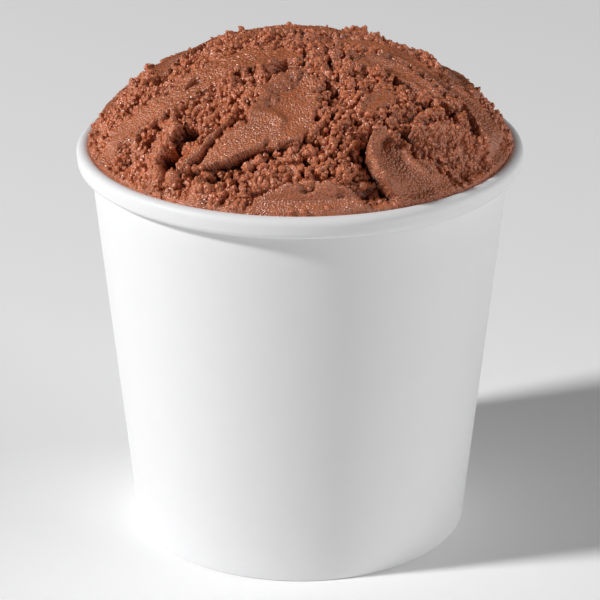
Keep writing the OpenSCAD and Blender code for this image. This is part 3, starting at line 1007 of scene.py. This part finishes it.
def crumb_tree():
    """Scatters half-sunk crumbs over the torn parts of the mound and makes each one uneven"""
    tree, given, result = new_tree("scattered_crumbs", [
        ("Density", "Float"), ("Size", "Float"), ("Spread", "Float"), ("Cuts", "Int"),
        ("Floor", "Float"), ("Seed", "Int"), ("Material", "Material")])
    g = given.outputs
    ripe = add(tree, "ShaderNodeMapRange", {"interpolation_type": "SMOOTHSTEP"},
               Value=point_value(tree, "torn"), From_Min=0.35, From_Max=0.9)
    # fewer crumbs where the painted shade of the gaps is strong, so that they sit on crests
    crest = add(tree, "ShaderNodeMapRange", {"interpolation_type": "SMOOTHSTEP"},
                Value=point_value(tree, "hollow"), From_Min=0.05, From_Max=0.55, To_Min=1.0, To_Max=0.05)
    share = maths(tree, "MULTIPLY", ripe.outputs["Result"], crest.outputs["Result"])
    thick = maths(tree, "MULTIPLY", share, g["Density"])
    spots = add(tree, "GeometryNodeDistributePointsOnFaces", _0=g["Geometry"],
                Density=thick, Seed=g["Seed"])
    z = add(tree, "ShaderNodeSeparateXYZ", _0=position(tree)).outputs["Z"]
    low_down = maths(tree, "LESS_THAN", z, g["Floor"])
    above = add(tree, "GeometryNodeDeleteGeometry", {"domain": "POINT"}, _0=spots.outputs["Points"],
                _1=low_down)
    depth = maths(tree, "MULTIPLY", g["Size"], -0.15)
    down = vectors(tree, "SCALE", spots.outputs["Normal"], Scale=depth)
    sunk = add(tree, "GeometryNodeSetPosition", _0=above.outputs[0], Offset=down)
    block = add(tree, "GeometryNodeMeshCube", Size=(1.0, 1.0, 1.0), Vertices_X=g["Cuts"],
                Vertices_Y=g["Cuts"], Vertices_Z=g["Cuts"])
    half = vectors(tree, "SCALE", vectors(tree, "NORMALIZE", position(tree)), Scale=0.5)
    grain = add(tree, "GeometryNodeSetPosition", _0=block.outputs["Mesh"], Position=half)
    low = maths(tree, "SUBTRACT", 1.0, g["Spread"])
    high = maths(tree, "ADD", 1.0, g["Spread"])
    stretch_by = add(tree, "FunctionNodeRandomValue", {"data_type": "FLOAT_VECTOR"},
                     _0=(0.7, 0.7, 0.6), _1=(1.35, 1.1, 1.0), Seed=g["Seed"])
    factor = add(tree, "FunctionNodeRandomValue", {"data_type": "FLOAT"}, _2=low,
                 _3=high, Seed=g["Seed"])
    size = maths(tree, "MULTIPLY", factor.outputs[1], g["Size"])
    scale = vectors(tree, "SCALE", stretch_by.outputs[0], Scale=size)
    spin = add(tree, "FunctionNodeRandomValue", {"data_type": "FLOAT_VECTOR"},
               _0=(0.0, 0.0, 0.0), _1=(math.tau, math.tau, math.tau), Seed=g["Seed"])
    crumbs = add(tree, "GeometryNodeInstanceOnPoints", _0=sunk.outputs[0],
                 Instance=grain.outputs[0], Rotation=spin.outputs[0], Scale=scale)
    loose = add(tree, "GeometryNodeRealizeInstances", _0=crumbs.outputs[0])
    rough = add(tree, "ShaderNodeTexNoise", _0=position(tree), Scale=per_mm(0.9), Detail=1.0)
    centred = vectors(tree, "SUBTRACT", rough.outputs["Color"], _1=(0.5, 0.5, 0.5))
    amount = maths(tree, "MULTIPLY", g["Size"], 0.6)
    shift = vectors(tree, "SCALE", centred, Scale=amount)
    uneven = add(tree, "GeometryNodeSetPosition", _0=loose.outputs[0], Offset=shift)
    shaded = add(tree, "GeometryNodeSetShadeSmooth", _0=uneven.outputs[0])
    marked = add(tree, "GeometryNodeStoreNamedAttribute", {"data_type": "FLOAT", "domain": "POINT"},
                 _0=shaded.outputs[0], Name="torn", Value=1.0)
    done = add(tree, "GeometryNodeSetMaterial", _0=marked.outputs[0], Material=g["Material"])
    tree.links.new(done.outputs[0], result.inputs[0])
    return tree


def crumbs(name, mound, density, size, seed, material):
    """A piece of crumbs on the mound's mesh, each a cube of 3 by 3 points on a side, rounded"""
    piece = new_object(name + "_ground", mound.data.copy())
    tree = bpy.data.node_groups.get("scattered_crumbs") or crumb_tree()
    with_nodes(piece, tree, {
        "Density": density, "Size": size * MM, "Spread": 0.35, "Cuts": 3,
        "Floor": (TUB_H + 0.6) * MM, "Seed": seed, "Material": material})
    return baked(piece, name)


# ---------------------------------------------------------------- operators

def material_of(name, make, *values):
    return bpy.data.materials.get(name) or make(*values)


class PINT_OT_tub_wall(Operator):
    """Turn the side wall with its rolled rim, lap and folded foot"""
    bl_idname = "pint.tub_wall"
    bl_label = "Tub Wall"

    def execute(self, context):
        tub = in_mm(context.scene.pint_tub)
        board = material_of("coated_paperboard", coated_paperboard, context.scene.pint_finish.board)
        piece = turned("paper_tub_wall", wall_section(tub), tub, 0.88, board)
        finish_piece(piece, "tub_wall")
        return {"FINISHED"}


class PINT_OT_tub_base(Operator):
    """Turn the recessed base disc with its skirt"""
    bl_idname = "pint.tub_base"
    bl_label = "Tub Base"

    def execute(self, context):
        tub = in_mm(context.scene.pint_tub)
        board = material_of("coated_paperboard", coated_paperboard, context.scene.pint_finish.board)
        piece = turned("paper_tub_base", base_section(tub), tub, 0.0, board)
        finish_piece(piece, "tub_base")
        return {"FINISHED"}


class PINT_OT_mound(Operator):
    """Shape the ice cream: torn ground, spade marks and pits on a round mound"""
    bl_idname = "pint.mound"
    bl_label = "Ice Cream"

    def execute(self, context):
        mound = in_mm(context.scene.pint_mound)
        relief = Relief(mound)
        piece = new_object("ice_cream_mound", mound_mesh(relief, mound))
        cream = material_of("churned_ice_cream", churned_ice_cream, context.scene.pint_finish)
        piece.data.materials.append(cream)
        finish_piece(piece, "ice_cream")
        return {"FINISHED"}


class PINT_OT_crumbs(Operator):
    """Scatter crumbs over the torn ice cream"""
    bl_idname = "pint.crumbs"
    bl_label = "Crumbs"

    def execute(self, context):
        mound = bpy.data.objects.get("ice_cream_mound")
        if mound is None:
            raise RuntimeError("make the ice cream before its crumbs")
        s = in_mm(context.scene.pint_crumbs)
        cream = material_of("churned_ice_cream", churned_ice_cream, context.scene.pint_finish)
        kinds = (("crumbs_coarse", s.coarse_count, s.coarse_size),
                 ("crumbs_middle", s.middle_count, s.middle_size),
                 ("crumbs_fine", s.fine_count, s.fine_size))
        for number, (name, count, size) in enumerate(kinds):
            piece = crumbs(name, mound, count, size, seed=11 + number, material=cream)
            finish_piece(piece, None)
        return {"FINISHED"}


def area_light(name, place, aim, size, power):
    light = bpy.data.lights.new(name, "AREA")
    light.shape = "DISK"
    light.size = size
    light.energy = power
    lamp = new_object(name, light)
    lamp.location = place
    lamp.rotation_euler = (Vector(aim) - Vector(place)).to_track_quat("-Z", "Y").to_euler()


class PINT_OT_stage(Operator):
    """Lay the floor, set the lights and place the camera"""
    bl_idname = "pint.stage"
    bl_label = "Stage"

    def execute(self, context):
        scene = context.scene
        stage = scene.pint_stage
        corners = [(x * FLOOR_HALF, y * FLOOR_HALF, 0) for x, y in ((-1, -1), (1, -1), (1, 1), (-1, 1))]
        mesh = mesh_from("floor", corners, [(0, 1, 2, 3)], False)
        floor = new_object("floor", mesh)
        floor.data.materials.append(studio_white(scene.pint_finish.floor))
        aim = (0, 0, 0.08)
        area_light("key_light", (-2.0, -0.6, 1.44), aim, 0.3, stage.key)
        area_light("fill_light", (2.04, -0.44, 0.84), aim, 1.8, stage.fill)
        world = bpy.data.worlds.new("studio")
        world.use_nodes = True
        fill_in(world.node_tree, world.node_tree.nodes["Background"], Color=(1.0, 1.0, 1.0, 1.0),
                Strength=stage.sky)
        scene.world = world
        scene.view_settings.view_transform = "Standard"
        lens = bpy.data.cameras.new("camera")
        lens.lens = stage.camera_lens
        lens.sensor_width = 36
        lens.clip_end = 20
        camera = new_object("camera", lens)
        camera.location = (0, -stage.camera_back, stage.camera_up)
        camera.rotation_euler = (math.pi / 2 - stage.camera_pitch, 0, 0)
        scene.camera = camera
        return {"FINISHED"}


class PINT_PT_panel(Panel):
    """Lists the steps and their settings"""
    bl_label = "Ice Cream Pint"
    bl_idname = "PINT_PT_panel"
    bl_space_type = "VIEW_3D"
    bl_region_type = "UI"
    bl_category = "Ice Cream"

    def draw(self, context):
        for operator in OPERATORS:
            self.layout.operator(operator.bl_idname)
        for name, group in SETTINGS.items():
            box = self.layout.box()
            box.label(text=group.bl_rna.description)
            for prop in group.__annotations__:
                box.prop(getattr(context.scene, name), prop)


OPERATORS = (PINT_OT_tub_wall, PINT_OT_tub_base, PINT_OT_mound, PINT_OT_crumbs, PINT_OT_stage)


def register():
    for item in (*SETTINGS.values(), *OPERATORS, PINT_PT_panel):
        bpy.utils.register_class(item)
    for name, group in SETTINGS.items():
        setattr(bpy.types.Scene, name, PointerProperty(type=group))


def unregister():
    for name in SETTINGS:
        delattr(bpy.types.Scene, name)
    for item in (PINT_PT_panel, *OPERATORS[::-1], *SETTINGS.values()):
        bpy.utils.unregister_class(item)


def main():
    register()
    bpy.ops.pint.tub_wall()
    bpy.ops.pint.tub_base()
    bpy.ops.pint.mound()
    bpy.ops.pint.crumbs()
    bpy.ops.pint.stage()


if __name__ == "__main__":
    main()
